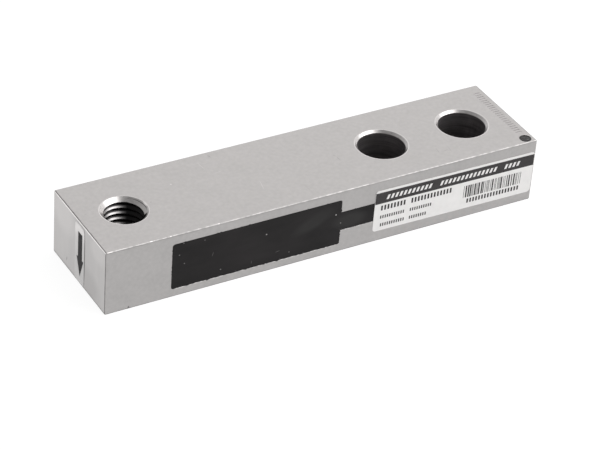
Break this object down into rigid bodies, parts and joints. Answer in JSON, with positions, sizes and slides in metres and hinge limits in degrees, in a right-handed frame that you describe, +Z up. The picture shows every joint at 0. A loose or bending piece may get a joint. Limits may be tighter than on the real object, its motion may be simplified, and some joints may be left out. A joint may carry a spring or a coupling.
{
  "type": "shear beam load cell",
  "caption": "Single-ended shear beam load cell: steel bar with two bolt holes, a threaded load hole, resin-sealed gauge windows and a cable inlet.",
  "frame": {"origin": "middle of the bar's underside", "axes": "+X along the bar from the loaded end to the fixed end, +Z up out of the top face, and the side with the label and the wire trench looks to -Y"},
  "size_m": [0.1285, 0.0309, 0.0191],
  "materials": {
    "steel": "finely ground and nickel plated, matte",
    "potting": "matt black resin with fine specks",
    "sealant": "soft milky silicone",
    "film": "amber film",
    "foil": "etched copper-nickel foil",
    "solder_pads": "laminate with tinned copper pads",
    "sleeve": "white sleeve",
    "board": "green lacquered laminate",
    "chip": "black glazed ceramic with tinned ends",
    "lead": "enamelled copper",
    "wire_green": "green insulation",
    "wire_black": "black insulation",
    "wire_white": "white insulation",
    "wire_red": "red insulation",
    "bush": "matt black rubber",
    "rating_label": "white printed film with a black band",
    "arrow_label": "silver printed film with a black arrow"
  },
  "bodies": {
    "root": {"arrow_label": "arrow_label", "beam": "steel", "bridge_board": "board", "cable_bush": "bush", "cross_hole_sleeve": "sleeve", "drift_resistor": "chip", "fill_plug": "potting", "front_foil_grid_left": "foil", "front_foil_grid_right": "foil", "front_gauge_film": "film", "front_gauge_tabs": "foil", "front_leads": "lead", "front_potting": "potting", "front_sealant": "sealant", "front_solder_strip": "solder_pads", "rating_label": "rating_label", "rear_foil_grid_left": "foil", "rear_foil_grid_right": "foil", "rear_gauge_film": "film", "rear_gauge_tabs": "foil", "rear_leads": "lead", "rear_potting": "potting", "rear_sealant": "sealant", "rear_solder_strip": "solder_pads", "shunt_resistor": "chip", "signal_minus_wire": "wire_red", "signal_plus_wire": "wire_white", "span_resistor": "chip", "supply_minus_wire": "wire_black", "supply_plus_wire": "wire_green", "zero_resistor": "chip"}
  },
  "joints": []
}
